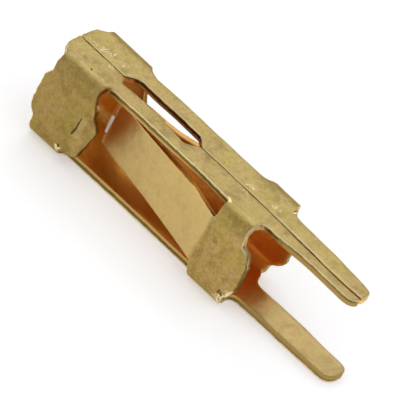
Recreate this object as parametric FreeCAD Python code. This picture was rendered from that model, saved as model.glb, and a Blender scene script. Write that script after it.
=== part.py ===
"""Solder socket contact: a square socket folded from one blank of thin sheet.

The blank is wrapped round into a box with a butt seam along the middle of its
top wall. Two collars hold the box square. Between them each side wall is
punched away, except for a spring arm that is rooted at the rear collar and
leans inward to the mouth, where the two arms grip a round post. Two flat
solder tails run on from the top and bottom walls.

All sizes are in millimetres. X runs from the mouth to the tails, Y across the
contact and Z upward, from the outer face of the bottom wall to the seam. The
origin is under the middle of the whole contact.
"""
import FreeCAD, Part
import math
import os

Vector = FreeCAD.Vector

# Sheet and folded box
sheet = 0.22
body_width = 2.82
body_height = 2.71
fold_radius = 0.56

# Butt seam in the top wall, a little to the near side of its middle
seam_gap = 0.04
seam_shift = 0.04

# Lengths along the box, from the mouth. The front collar is shorter at its foot,
# on the bottom wall.
front_collar = 1.33
front_collar_foot = 1.15
window_length = 4.87
rear_collar = 0.96

# Side windows
window_bulge = 0.42
window_corner = 0.16

# Lead-in slot on the seam of the top wall
slot_start = 1.17
slot_length = 3.06
slot_width = 0.73

# Break-off stubs round the mouth
top_stub_length = 0.50
top_stub_width = 1.16
upper_shoulder = 0.21
upper_notch = 0.09
side_stub_length = 0.28
side_stub_low = 0.88
side_stub_height = 1.00
lower_notch = 0.01
lower_shoulder = 0.09

# Tongues on the rear edges of the side walls
near_tongue = 0.52
near_foot_margin = 0.12
near_foot_slope = 0.72
near_head_margin = 0.36
near_head_slope = 0.48
far_tongue = 0.33
far_foot_margin = 0.47
far_foot_slope = 0.42
far_head_margin = 0.72
far_head_slope = 0.40
tongue_corner = 0.14

# Spring arms
spring_reach = 4.52
spring_angle = 12.5
spring_bend_radius = 0.40
near_spring_top_margin = 0.40
far_spring_top_margin = 0.51
spring_bottom_margin = 0.65
spring_tip_rise = 0.12
lip_angle = 34.0
lip_radius = 0.14
lip_run = 0.06

# Solder tails
top_tail_length = 3.36
top_tail_width = 1.13
top_tip_width = 0.96
bottom_tail_length = 3.76
bottom_tail_width = 1.00
bottom_tip_width = 0.90
tail_corner = 0.24
tail_root_radius = 0.12

# Places that follow from the sizes
window_front = front_collar
window_rear = window_front + window_length
box_end = window_rear + rear_collar
rail_half = body_width / 2 - fold_radius
front_most = -max(top_stub_length, side_stub_length)
rear_most = box_end + max(top_tail_length, bottom_tail_length, near_tongue, far_tongue)
middle = (front_most + rear_most) / 2

# Extra length that lets a cutter run clear of what it cuts
clear = 1.0


def plan_prism(points, low, high):
    """Prism on an outline of (x, y) points, from height low to height high."""
    corners = [Vector(x, y, low) for x, y in points]
    face = Part.Face(Part.makePolygon(corners + corners[:1]))
    return face.extrude(Vector(0, 0, high - low))


def side_prism(points, near, far):
    """Prism on an outline of (x, z) points, from y = near to y = far."""
    corners = [Vector(x, near, z) for x, z in points]
    face = Part.Face(Part.makePolygon(corners + corners[:1]))
    return face.extrude(Vector(0, far - near, 0))


def round_corners(prism, axis, corners, radius):
    """Fillet the edges of a prism that run along axis through the given corners."""
    chosen = []
    for edge in prism.Edges:
        ends = [vertex.Point for vertex in edge.Vertexes]
        along = (ends[-1] - ends[0]).normalize()
        if abs(along.dot(axis)) < 0.999:
            continue
        for corner in corners:
            gap = ends[0] - corner
            gap = gap - axis * gap.dot(axis)
            if gap.Length < 1e-4:
                chosen.append(edge)
                break
    return prism.makeFillet(radius, chosen)


def rounded_bar(start, end, inset):
    """Solid bar along X with the folded box's section, all sides moved in by inset."""
    width = body_width - 2 * inset
    height = body_height - 2 * inset
    bar = Part.makeBox(end - start, width, height, Vector(start, -width / 2, inset))
    long_edges = [edge for edge in bar.Edges if abs(edge.tangentAt(edge.FirstParameter).x) > 0.999]
    return bar.makeFillet(fold_radius - inset, long_edges)


def folded_box():
    """Four walls and four folds, trimmed to the edges of the side walls."""
    start = -side_stub_length
    end = box_end + max(near_tongue, far_tongue)
    tube = rounded_bar(start, end, 0).cut(rounded_bar(start - clear, end + clear, sheet))
    tube = tube.cut(mouth_trim())
    near_foot = (near_foot_margin, near_foot_slope)
    near_head = (near_head_margin, near_head_slope)
    far_foot = (far_foot_margin, far_foot_slope)
    far_head = (far_head_margin, far_head_slope)
    tube = tube.cut(rear_trim(near_tongue, near_foot, near_head, -body_width))
    tube = tube.cut(rear_trim(far_tongue, far_foot, far_head, body_width))
    return tube


def mouth_trim():
    """Cutter that leaves the mouth edge: shoulders, notches and one stub on each side."""
    fold_low = fold_radius
    fold_high = body_height - fold_radius
    stub_high = side_stub_low + side_stub_height
    beyond = -side_stub_length - clear
    outline = [
        (beyond, -clear),
        (-lower_shoulder, -clear),
        (-lower_shoulder, 0),
        (-lower_notch, fold_low),
        (-side_stub_length, side_stub_low),
        (-side_stub_length, stub_high),
        (-upper_notch, fold_high),
        (-upper_shoulder, body_height),
        (-upper_shoulder, body_height + clear),
        (beyond, body_height + clear),
    ]
    return side_prism(outline, -body_width, body_width)


def rear_trim(tongue, foot, head, reach):
    """Cutter behind one side wall, out to y = reach.

    The folds end at the collar, and the wall runs on in a tongue. Its foot and
    head are each a (margin, slope) pair: how far in from the bottom or top
    wall its edge starts, and how much further in it ends at the tip.
    """
    root_low = foot[0]
    root_high = body_height - head[0]
    tip_low = root_low + foot[1]
    tip_high = root_high - head[1]
    beyond = box_end + max(near_tongue, far_tongue) + clear
    outline = [
        (beyond, -clear),
        (box_end, -clear),
        (box_end, root_low),
        (box_end + tongue, tip_low),
        (box_end + tongue, tip_high),
        (box_end, root_high),
        (box_end, body_height + clear),
        (beyond, body_height + clear),
    ]
    prism = side_prism(outline, 0, reach)
    corners = [Vector(x, 0, z) for x, z in outline[2:6]]
    return round_corners(prism, Vector(0, 1, 0), corners, tongue_corner)


def window(side):
    """Cutter for one side window, from the edge of the rails outward.

    The front edge is one arc that leaves a bulge on the front collar.
    """
    low = -clear
    high = body_height + clear
    half = body_height / 2
    foot = Vector(front_collar_foot, 0, 0)
    crown = Vector(window_front + window_bulge, 0, half)
    head = Vector(window_front, 0, body_height)
    below = Vector(front_collar_foot, 0, low)
    above = Vector(window_front, 0, high)
    rear_low = Vector(window_rear, 0, low)
    rear_high = Vector(window_rear, 0, high)
    edges = [
        Part.LineSegment(below, foot).toShape(),
        Part.Arc(foot, crown, head).toShape(),
        Part.LineSegment(head, above).toShape(),
        Part.LineSegment(above, rear_high).toShape(),
        Part.LineSegment(rear_high, rear_low).toShape(),
        Part.LineSegment(rear_low, below).toShape(),
    ]
    prism = Part.Face(Part.Wire(edges)).extrude(Vector(0, body_width, 0))
    prism.translate(Vector(0, rail_half, 0))
    inner = [
        edge for edge in prism.Edges
        if all(abs(vertex.Y - rail_half) < 1e-6 for vertex in edge.Vertexes)
        and abs(edge.Vertexes[0].Z - edge.Vertexes[-1].Z) > 1e-6
    ]
    prism = prism.makeFillet(window_corner, inner)
    if side < 0:
        prism = prism.mirror(Vector(0, 0, 0), Vector(0, 1, 0))
    return prism


def wall_outline(tail_length, tail_width, tip_width):
    """Outline of the top or bottom wall's flat part: mouth stub, rails and solder tail."""
    stub_half = top_stub_width / 2
    slope = rail_half - stub_half
    one_side = [
        (-top_stub_length, stub_half),
        (-top_stub_length + slope, rail_half),
        (box_end, rail_half),
        (box_end, tail_width / 2),
        (box_end + tail_length, tip_width / 2),
    ]
    other_side = [(x, -y) for x, y in reversed(one_side)]
    return one_side + other_side


def flat_wall(low, tail_length, tail_width, tip_width):
    """Top or bottom wall between its two folds, with its solder tail."""
    outline = wall_outline(tail_length, tail_width, tip_width)
    prism = plan_prism(outline, low, low + sheet)
    up = Vector(0, 0, 1)
    tips = [Vector(x, y, 0) for x, y in outline[4:6]]
    roots = [Vector(x, y, 0) for x, y in (outline[3], outline[6])]
    step = rail_half - tail_width / 2
    prism = round_corners(prism, up, tips, tail_corner)
    return round_corners(prism, up, roots, min(tail_root_radius, 0.9 * step))


def lead_in_slot():
    """Cutter for the long slot on the seam, pointed at both ends."""
    half = slot_width / 2
    end = slot_start + slot_length
    outline = [
        (slot_start, -seam_shift),
        (slot_start + half, -seam_shift - half),
        (end - half, -seam_shift - half),
        (end, -seam_shift),
        (end - half, -seam_shift + half),
        (slot_start + half, -seam_shift + half),
    ]
    return plan_prism(outline, body_height - 2 * sheet, body_height + clear)


def seam():
    """Cutter for the butt seam, over the whole length of the top wall."""
    start = -top_stub_length - clear
    end = box_end + top_tail_length + clear
    corner = Vector(start, -seam_shift - seam_gap / 2, body_height - 2 * sheet)
    return Part.makeBox(end - start, seam_gap, 2 * sheet + clear, corner)


def turned(point, centre, angle):
    """Point turned about centre in plan, by angle in degrees."""
    arm = point - centre
    cosine = math.cos(math.radians(angle))
    sine = math.sin(math.radians(angle))
    return centre + Vector(arm.x * cosine - arm.y * sine, arm.x * sine + arm.y * cosine, 0)


def bent_strip(start, heading, inward, moves):
    """Plan face of a strip of sheet that is bent along its length.

    The outer side starts at start. Each move is (angle, size): angle 0 is a
    straight run of that length, a positive angle bends the strip inward and a
    negative one outward, both with size as the radius inside the bend.
    """
    outer = start
    inner = start + inward * sheet
    outer_edges = []
    inner_edges = []
    for angle, size in moves:
        if angle == 0:
            next_outer = outer + heading * size
            next_inner = inner + heading * size
            outer_edges.append(Part.LineSegment(outer, next_outer).toShape())
            inner_edges.append(Part.LineSegment(inner, next_inner).toShape())
        else:
            centre = inner + inward * size if angle > 0 else outer - inward * size
            next_outer = turned(outer, centre, -angle)
            next_inner = turned(inner, centre, -angle)
            half_outer = turned(outer, centre, -angle / 2)
            half_inner = turned(inner, centre, -angle / 2)
            outer_edges.append(Part.Arc(outer, half_outer, next_outer).toShape())
            inner_edges.append(Part.Arc(inner, half_inner, next_inner).toShape())
            heading = turned(heading, Vector(0, 0, 0), -angle)
            inward = turned(inward, Vector(0, 0, 0), -angle)
        outer = next_outer
        inner = next_inner
    root = Part.LineSegment(start + Vector(0, sheet, 0), start).toShape()
    tip = Part.LineSegment(outer, inner).toShape()
    edges = [root] + outer_edges + [tip] + inner_edges[::-1]
    return Part.Face(Part.Wire(Part.__sortEdges__(edges)))


def spring_arm(top_margin):
    """Near spring arm: bent in at its root, straight, with a lip turned out at its tip."""
    lean = math.radians(spring_angle)
    root_bend = (spring_bend_radius + sheet) * math.sin(lean)
    lip_turn = math.radians(lip_angle)
    lip_bend = lip_radius * (math.sin(lean) + math.sin(lip_turn - lean))
    lip_end = lip_run * math.cos(lip_turn - lean)
    run = (spring_reach - root_bend - lip_bend - lip_end) / math.cos(lean)
    moves = [
        (spring_angle, spring_bend_radius),
        (0, run),
        (-lip_angle, lip_radius),
        (0, lip_run),
    ]
    start = Vector(window_rear, -body_width / 2, 0)
    face = bent_strip(start, Vector(-1, 0, 0), Vector(0, 1, 0), moves)
    strip = face.extrude(Vector(0, 0, body_height))
    tip = window_rear - spring_reach
    rise = spring_tip_rise / spring_reach
    beyond = tip - clear
    outline = [
        (window_rear, spring_bottom_margin),
        (beyond, spring_bottom_margin + rise * (window_rear - beyond)),
        (beyond, body_height - top_margin),
        (window_rear, body_height - top_margin),
    ]
    arm = strip.common(side_prism(outline, -body_width, body_width))
    return arm.common(rounded_bar(beyond, window_rear, 0))


def contact_body():
    """The whole contact as one solid."""
    contact = folded_box()
    contact = contact.cut(window(-1)).cut(window(1))
    top_wall = flat_wall(body_height - sheet, top_tail_length, top_tail_width, top_tip_width)
    bottom_wall = flat_wall(0, bottom_tail_length, bottom_tail_width, bottom_tip_width)
    contact = contact.fuse(top_wall).fuse(bottom_wall)
    contact = contact.cut(lead_in_slot()).cut(seam())
    near_arm = spring_arm(near_spring_top_margin)
    far_arm = spring_arm(far_spring_top_margin).mirror(Vector(0, 0, 0), Vector(0, 1, 0))
    contact = contact.fuse(near_arm).fuse(far_arm).removeSplitter()
    contact.translate(Vector(-middle, 0, 0))
    return contact.Solids[0] if len(contact.Solids) == 1 else contact


os.makedirs("parts", exist_ok=True)
contact = contact_body()
contact.exportStep("parts/contact_body.step")

box = contact.BoundBox
print("solids", len(contact.Solids), "valid", contact.isValid())
print("size", round(box.XLength, 3), round(box.YLength, 3), round(box.ZLength, 3))
print("volume", round(contact.Volume, 3), "area", round(contact.Area, 3))
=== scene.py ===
import math

import bmesh
import bpy
import numpy as np
from mathutils import Matrix, Vector
from mathutils.geometry import delaunay_2d_cdt


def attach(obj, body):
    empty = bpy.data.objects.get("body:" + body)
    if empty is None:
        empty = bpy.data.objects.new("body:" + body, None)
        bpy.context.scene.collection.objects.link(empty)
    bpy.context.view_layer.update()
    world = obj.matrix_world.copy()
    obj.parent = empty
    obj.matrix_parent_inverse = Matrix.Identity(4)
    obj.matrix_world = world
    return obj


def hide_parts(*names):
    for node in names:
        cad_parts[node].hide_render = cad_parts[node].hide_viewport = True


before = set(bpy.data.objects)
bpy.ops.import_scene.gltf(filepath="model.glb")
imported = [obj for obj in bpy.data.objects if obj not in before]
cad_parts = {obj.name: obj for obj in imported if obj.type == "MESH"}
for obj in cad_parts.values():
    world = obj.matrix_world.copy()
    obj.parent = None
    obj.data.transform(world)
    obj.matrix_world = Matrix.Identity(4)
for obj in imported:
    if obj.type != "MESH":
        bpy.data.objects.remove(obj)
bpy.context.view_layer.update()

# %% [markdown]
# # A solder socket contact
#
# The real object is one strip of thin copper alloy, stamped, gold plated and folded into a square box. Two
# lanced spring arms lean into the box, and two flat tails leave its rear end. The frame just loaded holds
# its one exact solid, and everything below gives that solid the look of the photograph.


# %% [markdown]
# ## Camera
#
# The photograph was taken from so far off that parallel edges stay parallel, so the camera is orthographic.
# Its direction was solved from the corners of the box, and it is rolled by 28 degrees. RIGHT and UP are the
# picture's own axes in the frame. A camera could also be turned by three angles, but two axes say at once
# what points where.

# %% Camera
PX_PER_MM = 37.475
PICTURE_PX = 400
AIM_RIGHT = 0.0002706
AIM_UP = 0.0011812
CAMERA_DISTANCE = 0.06
RIGHT = Vector((0.68578, 0.61932, 0.38229))
UP = Vector((-0.64030, 0.26369, 0.72144))
BACK = RIGHT.cross(UP).normalized()
aim = RIGHT * AIM_RIGHT + UP * AIM_UP
camera = bpy.data.objects.new("camera", bpy.data.cameras.new("camera"))
camera.data.type = "ORTHO"
camera.data.ortho_scale = PICTURE_PX / PX_PER_MM / 1000
camera.data.clip_start = 0.001
camera.data.clip_end = 1.0
turn = Matrix((RIGHT, UP, BACK)).transposed().to_4x4()
camera.matrix_world = Matrix.Translation(aim + BACK * CAMERA_DISTANCE) @ turn
bpy.context.scene.collection.objects.link(camera)
bpy.context.scene.camera = camera
print("camera sees", round(camera.data.ortho_scale * 1000, 2), "mm across")

# %% [markdown]
# ## Floor and light
#
# The background of the photograph is plain white. The floor is a pale matt sheet, and rays from the camera
# and from mirrors and glass see it a little lifted, so that it reads as white while the shadow on it stays.
# The lift adds no light to the contact's matt parts. A more even white would need stronger lamps, which
# would bleach the gold.

# %% Floor
FLOOR_HALF = 2.0
FLOOR_DROP = 0.00003
corners = [(-FLOOR_HALF, -FLOOR_HALF, 0), (FLOOR_HALF, -FLOOR_HALF, 0), (FLOOR_HALF, FLOOR_HALF, 0),
           (-FLOOR_HALF, FLOOR_HALF, 0)]
floor_mesh = bpy.data.meshes.new("floor")
floor_mesh.from_pydata(corners, [], [(0, 1, 2, 3)])
floor = bpy.data.objects.new("floor", floor_mesh)
floor.location.z = -FLOOR_DROP
bpy.context.scene.collection.objects.link(floor)
print("floor:", 2 * FLOOR_HALF, "m wide")


# %% Helpers for nodes
def feed(tree, socket, value):
    """Links a socket to another node's output, or sets it to a number, a vector or a colour."""
    if isinstance(value, bpy.types.NodeSocket):
        tree.links.new(value, socket)
    else:
        socket.default_value = value


def make_node(tree, kind, **inputs):
    """New node in a tree. An input is given by its name, with _ for a space, or as i and its number."""
    node = tree.nodes.new(kind)
    for name, value in inputs.items():
        by_number = name[0] == "i" and name[1:].isdigit()
        socket = node.inputs[int(name[1:])] if by_number else node.inputs[name.replace("_", " ")]
        feed(tree, socket, value)
    return node


def maths(tree, operation, *values, clamp=False):
    """Output of a Math node on numbers or sockets."""
    node = tree.nodes.new("ShaderNodeMath")
    node.operation = operation
    node.use_clamp = clamp
    for socket, value in zip(node.inputs, values):
        feed(tree, socket, value)
    return node.outputs[0]


print("node helpers ready: feed, make_node, maths")

# %% Floor material
FLOOR_LIFT = 0.36
FLOOR_WHITE = (0.94, 0.94, 0.94, 1)
white = bpy.data.materials.new("white_floor")
white.use_nodes = True
tree = white.node_tree
tree.nodes.clear()
path = make_node(tree, "ShaderNodeLightPath")
seen = maths(tree, "MAXIMUM", path.outputs["Is Camera Ray"], path.outputs["Is Glossy Ray"])
seen = maths(tree, "MAXIMUM", seen, path.outputs["Is Transmission Ray"])
matt = make_node(tree, "ShaderNodeBsdfDiffuse", Color=FLOOR_WHITE)
glow = maths(tree, "MULTIPLY", seen, FLOOR_LIFT)
lift = make_node(tree, "ShaderNodeEmission", Color=(1, 1, 1, 1), Strength=glow)
both = make_node(tree, "ShaderNodeAddShader", i0=matt.outputs[0], i1=lift.outputs[0])
make_node(tree, "ShaderNodeOutputMaterial", Surface=both.outputs[0])
floor_mesh.materials.append(white)
print("floor lift for camera, mirror and glass rays:", FLOOR_LIFT)

# %% [markdown]
# ### Light
#
# A small bright object shows its surroundings more than its own colour. So most of the light here comes
# from a plain grey world, which every flat face mirrors as one even tone. Three weak area lamps add the
# difference between the walls: the key on the far side, a fill on the near side, and a small one overhead
# for the glints.

# %% World and lamps
WORLD_GREY = (0.68, 0.685, 0.70, 1)
LAMPS = [
    ("key", (-0.06, 0.10, 0.11), 0.07, 0.0158),
    ("fill", (-0.055, -0.11, 0.075), 0.11, 0.013),
    ("overhead", (-0.042, 0.024, 0.11), 0.022, 0.0018),
]
LAMP_TARGET = Vector((0, 0, 0.0013))
world = bpy.data.worlds.new("studio")
bpy.context.scene.world = world
world.use_nodes = True
world.node_tree.nodes["Background"].inputs["Color"].default_value = WORLD_GREY
world.node_tree.nodes["Background"].inputs["Strength"].default_value = 1.0


def lamp(name, place, size, power):
    """A square area lamp at a place in metres, turned to the contact. Power is in watts."""
    data = bpy.data.lights.new(name, "AREA")
    data.size = size
    data.energy = power
    ob = bpy.data.objects.new(name, data)
    ob.location = place
    ob.rotation_euler = (LAMP_TARGET - Vector(place)).to_track_quat("-Z", "Y").to_euler()
    bpy.context.scene.collection.objects.link(ob)


for name, place, size, power in LAMPS:
    lamp(name, place, size, power)

# %% [markdown]
# ## The blank, before it is folded
#
# The contact begins as a flat blank, punched out of strip, and every torn or sheared edge is made there. A
# point of the blank has two numbers: x, the distance from the mouth, and a, the distance round the box from
# the middle of the bottom wall, with minus on the near side. So edges are drawn flat, as a toolmaker would,
# and one function folds them. Modelling the folded box directly would be possible with extruded walls and
# bevels, but then each ragged edge that runs round a fold would have to be matched by hand.

# %% Sizes of the sheet and of the folded box, in millimetres
SHEET = 0.22
WIDTH = 2.82
HEIGHT = 2.71
FOLD = 0.56
MOUTH_X = -5.21
FRONT_LIMIT = -0.497
REAR_LIMIT = 10.915
FLAT = WIDTH / 2 - FOLD
QUARTER = math.pi / 2 * FOLD
WALL = HEIGHT - 2 * FOLD
LOW_FOLD_END = FLAT + QUARTER
WALL_END = LOW_FOLD_END + WALL
TOP_START = WALL_END + QUARTER
GIRTH = TOP_START + FLAT
print("half the girth of the box is", round(GIRTH, 3), "mm")

# %% Sizes of the spring arms
SPRING_ROOT = 6.16
SPRING_TIP = 2.05
LEAN = math.radians(12.5)
ROOT_RADIUS = 0.62
LIP = math.radians(34)
LIP_RADIUS = 0.14
LIP_RUN = 0.07
SPRING_RUN = 4.34
SPRING_LENGTH = ROOT_RADIUS * LEAN + SPRING_RUN + LIP_RADIUS * LIP + LIP_RUN
SPRING_STRETCH = SPRING_LENGTH / (SPRING_ROOT - SPRING_TIP)
print("each spring arm is", round(SPRING_LENGTH, 2), "mm long")

# %% [markdown]
# ### Outlines
#
# Each edge is a short list of points (x, a), measured in the photograph and laid out flat. A torn edge has
# no formula, so a list is the plain way to give it. The hidden edges on the far side follow the near ones
# with other irregularities, because the same tool cut both.

# %% Mouth, from the near seam edge down to the bottom wall
mouth_near = [
    (-0.495, -4.85), (-0.495, -4.70), (-0.485, -4.53), (-0.43, -4.38), (-0.31, -4.20), (-0.225, -4.09),
    (-0.18, -3.90), (-0.165, -3.66), (-0.135, -3.53), (-0.105, -3.41), (-0.19, -3.31), (-0.27, -3.17),
    (-0.278, -3.0), (-0.275, -2.84), (-0.28, -2.60), (-0.27, -2.30), (-0.25, -2.08), (-0.175, -2.0),
    (-0.11, -1.93), (-0.03, -1.84), (-0.008, -1.74), (-0.03, -1.59), (-0.01, -1.32), (-0.05, -1.10),
    (-0.11, -0.93), (-0.24, -0.82), (-0.34, -0.70), (-0.38, -0.52), (-0.39, -0.2),
]
mouth_far = [
    (-0.385, 0.2), (-0.38, 0.55), (-0.32, 0.72), (-0.22, 0.84), (-0.10, 0.96), (-0.04, 1.12),
    (-0.02, 1.38), (-0.03, 1.62), (-0.01, 1.78), (-0.12, 1.93), (-0.24, 2.06), (-0.27, 2.34),
    (-0.278, 2.7), (-0.27, 3.05), (-0.20, 3.26), (-0.11, 3.38), (-0.13, 3.55), (-0.19, 3.72),
    (-0.23, 3.87), (-0.232, 4.134), (-0.294, 4.236), (-0.404, 4.36), (-0.48, 4.433), (-0.495, 4.61),
    (-0.495, 4.80),
]
print("points on the mouth:", len(mouth_near) + len(mouth_far))

# %% Rear edges and the two solder tails
rear_near = [
    (7.30, -4.47), (7.17, -4.44), (7.107, -4.25), (7.124, -4.045), (7.151, -3.82), (7.195, -3.63),
    (7.256, -3.412), (7.344, -3.323), (7.505, -3.27), (7.589, -3.119), (7.667, -2.903), (7.67, -2.681),
    (7.675, -2.46), (7.67, -2.238), (7.624, -2.018), (7.50, -1.76), (7.385, -1.52), (7.33, -1.37),
    (7.315, -1.23), (7.295, -1.03), (7.285, -0.82), (7.28, -0.67), (7.35, -0.57),
]
bottom_tail = [
    (7.50, -0.525), (8.23, -0.487), (9.02, -0.497), (9.74, -0.48), (10.3, -0.47), (10.62, -0.455),
    (10.74, -0.42), (10.83, -0.34), (10.885, -0.21), (10.905, -0.08), (10.905, 0.1), (10.88, 0.23),
    (10.82, 0.34), (10.72, 0.405), (10.58, 0.425), (9.95, 0.43), (9.14, 0.475), (8.22, 0.475),
    (7.6, 0.45), (7.40, 0.46),
]
rear_far = [
    (7.27, 0.52), (7.18, 0.64), (7.12, 0.82), (7.0, 0.98), (6.96, 1.1), (7.02, 1.24), (6.99, 1.46),
    (7.20, 1.675), (7.37, 1.84), (7.38, 2.16), (7.39, 2.5), (7.36, 2.9), (7.2, 3.07), (6.98, 3.22),
    (6.94, 3.47), (7.04, 3.87), (7.17, 4.17), (7.27, 4.36), (7.36, 4.44),
]
top_tail_far = [
    (7.48, 0.585), (7.81, 0.568), (8.30, 0.545), (8.73, 0.535), (9.20, 0.512), (9.68, 0.472),
    (10.05, 0.435), (10.27, 0.405), (10.385, 0.37), (10.455, 0.29), (10.495, 0.14),
]
top_tail_near = [
    (10.51, -0.30), (10.44, -0.41), (10.34, -0.475), (10.2, -0.505), (10.05, -0.507), (9.55, -0.49),
    (9.1, -0.485), (8.63, -0.49), (8.28, -0.52), (8.0, -0.55), (7.6, -0.575),
]
print("the bottom tail ends at x =", max(x for x, a in bottom_tail), "mm")

# %% Seam line and slot in the top wall, as (x, y)
seam_line = np.array([
    (-0.6, -0.045), (0.3, -0.045), (1.2, -0.05), (4.2, -0.02), (5.6, -0.015), (6.6, -0.03), (7.3, -0.05),
    (8.2, -0.10), (9.15, -0.142), (10.0, -0.142), (10.6, -0.13),
])
slot_near = [
    (1.40, -0.335), (1.65, -0.31), (2.01, -0.285), (2.80, -0.295), (3.50, -0.36), (3.85, -0.40),
    (4.03, -0.22),
]
slot_far = [
    (4.06, 0.14), (3.86, 0.321), (3.01, 0.335), (2.25, 0.314), (1.60, 0.325), (1.50, 0.30), (1.34, 0.14),
]
print("the slot runs from", slot_far[-1][0], "to", slot_far[0][0], "mm")

# %% Side windows, each with its spring arm standing in from the rear
window_front = [
    (1.50, 4.211), (1.402, 4.183), (1.368, 4.116), (1.352, 3.975), (1.347, 3.829), (1.377, 3.702),
    (1.447, 3.58), (1.508, 3.471), (1.567, 3.359), (1.612, 3.211), (1.645, 3.05), (1.713, 2.94),
    (1.84, 2.72), (1.85, 2.66), (1.824, 2.51), (1.779, 2.338), (1.758, 2.167), (1.706, 1.974),
    (1.69, 1.74), (1.567, 1.64), (1.377, 1.60), (1.16, 1.50), (1.08, 1.32), (1.06, 1.12), (1.09, 0.96),
    (1.20, 0.865),
]
window_rear_low = [(5.72, 0.852), (5.95, 0.87), (6.07, 0.95), (6.11, 1.12), (6.10, 1.5), (6.075, 1.72)]
window_rear_high = [(6.13, 3.60), (6.09, 3.80), (6.067, 3.92), (6.03, 4.13), (5.90, 4.195)]
print("the near window's front edge has", len(window_front), "measured points")

# %% [markdown]
# ### From point lists to smooth closed loops
#
# The point lists are joined into one outer loop and two window loops. A loop is divided into equal steps
# and then averaged along its length, which rounds every corner a little, as a punch and tearing do.
# Blender's own curves could hold the outlines too, but the edge rings need the same points as plain
# numbers.

# %% Curves through point lists
rng = np.random.default_rng(11)
STEP = 0.036
TEAR_WAVES = 3.0
TEAR_SPREAD = 2.5
PUNCHED_SHARE = 0.15


def even_loop(points, blur=0.034, ragged=0.005):
    """Closed loop through points in equal steps of STEP, averaged with a bell curve of width blur along
    its length. Random waves of size ragged, about TEAR_WAVES of them to a millimetre, move it sideways:
    in full where the edge was torn and by PUNCHED_SHARE of that where it was punched."""
    p = np.vstack([points, points[:1]])
    along = np.concatenate([[0], np.cumsum(np.hypot(*np.diff(p, axis=0).T))])
    count = int(along[-1] / STEP)
    at = np.arange(count) * along[-1] / count
    loop = np.stack([np.interp(at, along, p[:, 0]), np.interp(at, along, p[:, 1])], 1)
    waves = np.fft.rfftfreq(count, STEP)
    soften = np.exp(-2 * (math.pi * waves * blur) ** 2)
    loop = np.fft.irfft(np.fft.rfft(loop, axis=0) * soften[:, None], count, axis=0)
    band = np.exp(-((waves - TEAR_WAVES) / TEAR_SPREAD) ** 2)
    sideways = np.fft.irfft(np.fft.rfft(rng.normal(size=count)) * band, count)
    sideways *= ragged / sideways.std() * (PUNCHED_SHARE + (1 - PUNCHED_SHARE) * torn_off(*loop.T))
    loop = loop + inward(loop, 1) * sideways[:, None]
    loop[:, 0] = np.clip(loop[:, 0], FRONT_LIMIT, REAR_LIMIT)
    return loop


def torn_off(x, a):
    """1 where the edge at blank point (x, a) was broken from the strip, at the mouth and behind the side
    walls, and 0 where it was punched."""
    m = np.abs(a)
    mouth = 1 - np.clip((x - 0.05) / 0.1, 0, 1)
    behind = np.clip((x - 6.75) / 0.1, 0, 1)
    side_wall = np.clip((m - 0.7) / 0.2, 0, 1) * np.clip((4.5 - m) / 0.1, 0, 1)
    return np.maximum(mouth, behind * side_wall)


def inward(loop, sense):
    """Unit normals of a closed loop: the line between its two neighbours, turned by a quarter. They point
    into the loop for sense 1 and out of it for sense -1."""
    along = np.roll(loop, -1, 0) - np.roll(loop, 1, 0)
    normal = np.stack([-along[:, 1], along[:, 0]], 1) / np.hypot(*along.T)[:, None]
    x, a = loop.T
    area = 0.5 * np.sum(x * np.roll(a, -1) - np.roll(x, -1) * a)
    return normal * np.sign(area) * sense


print("torn at the mouth:", torn_off(-0.3, 3.0), "torn at the slot:", torn_off(3.0, 4.7))


# %% Seam and top wall
SEAM_STEPS = 40


def seam_y(x):
    """Middle of the seam in the top wall at x: straight through the box, drifting to the near side in the
    tail."""
    return np.interp(x, seam_line[:, 0], seam_line[:, 1])


def seam_half(x):
    """Half the width of the seam at x. It opens a little toward the tip of the tail."""
    return np.interp(x, [0, 7.2, 8.4, 10.6], [0.021, 0.021, 0.030, 0.036])


def seam_points(start, end, side):
    """Points along one edge of the seam from start to end, as (x, a). Side -1 is the near edge."""
    x = np.linspace(start, end, SEAM_STEPS)
    return np.stack([x, side * (GIRTH - side * (seam_y(x) + side * seam_half(x)))], 1)


def on_top(points, side):
    """Points (x, y) of the top wall, laid out flat as (x, a)."""
    return np.array([(x, side * (GIRTH - side * y)) for x, y in points])


print("the seam is", round(2 * float(seam_half(0)), 3), "mm wide at the mouth")

# %% Outer loop of the blank
STUB_END = -0.495
SLOT_START = 1.20
SLOT_END = 4.18
TAIL_END = 10.51
outer = np.vstack([
    seam_points(STUB_END, SLOT_START, -1)[::-1],
    mouth_near,
    mouth_far,
    seam_points(STUB_END, SLOT_START, 1),
    on_top(slot_far[::-1], 1),
    seam_points(SLOT_END, TAIL_END, 1),
    on_top(top_tail_far[::-1], 1),
    rear_far[::-1],
    bottom_tail[::-1],
    rear_near[::-1],
    on_top(top_tail_near[::-1], -1),
    seam_points(SLOT_END, TAIL_END, -1)[::-1],
    on_top(slot_near[::-1], -1),
])
print("points round the blank:", len(outer))


# %% Window loops with their springs
def spring_arm(low, high):
    """Outline of one spring arm from the foot of its root round its tip to the head of its root. Points are
    (x, m), with m the distance from the middle of the bottom wall. low and high are its long edges."""
    foot, head = low[-1][1], high[0][1]
    tip = [
        (2.13, foot + 0.015), (2.085, foot + 0.07), (2.07, foot + 0.16), (2.045, foot + 0.66),
        (2.04, head - 0.5), (2.05, head - 0.1), (2.08, head - 0.03),
    ]
    return low + tip + high


def window(side, front, rear_low, arm, rear_high, rail):
    """Closed loop round one side window, with the spring arm standing in it. rail is where the top rail
    begins."""
    rail_low = [(2.2, 0.85), (3.6, 0.845), (5.0, 0.85)]
    rail_high = [(5.0, rail), (3.6, rail - 0.006), (2.4, rail)]
    return np.array(front + rail_low + rear_low + arm + rear_high + rail_high) * (1, side)


print("points on the tip of an arm:", len(spring_arm([(6, 1)], [(6, 3)])) - 2)

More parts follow.
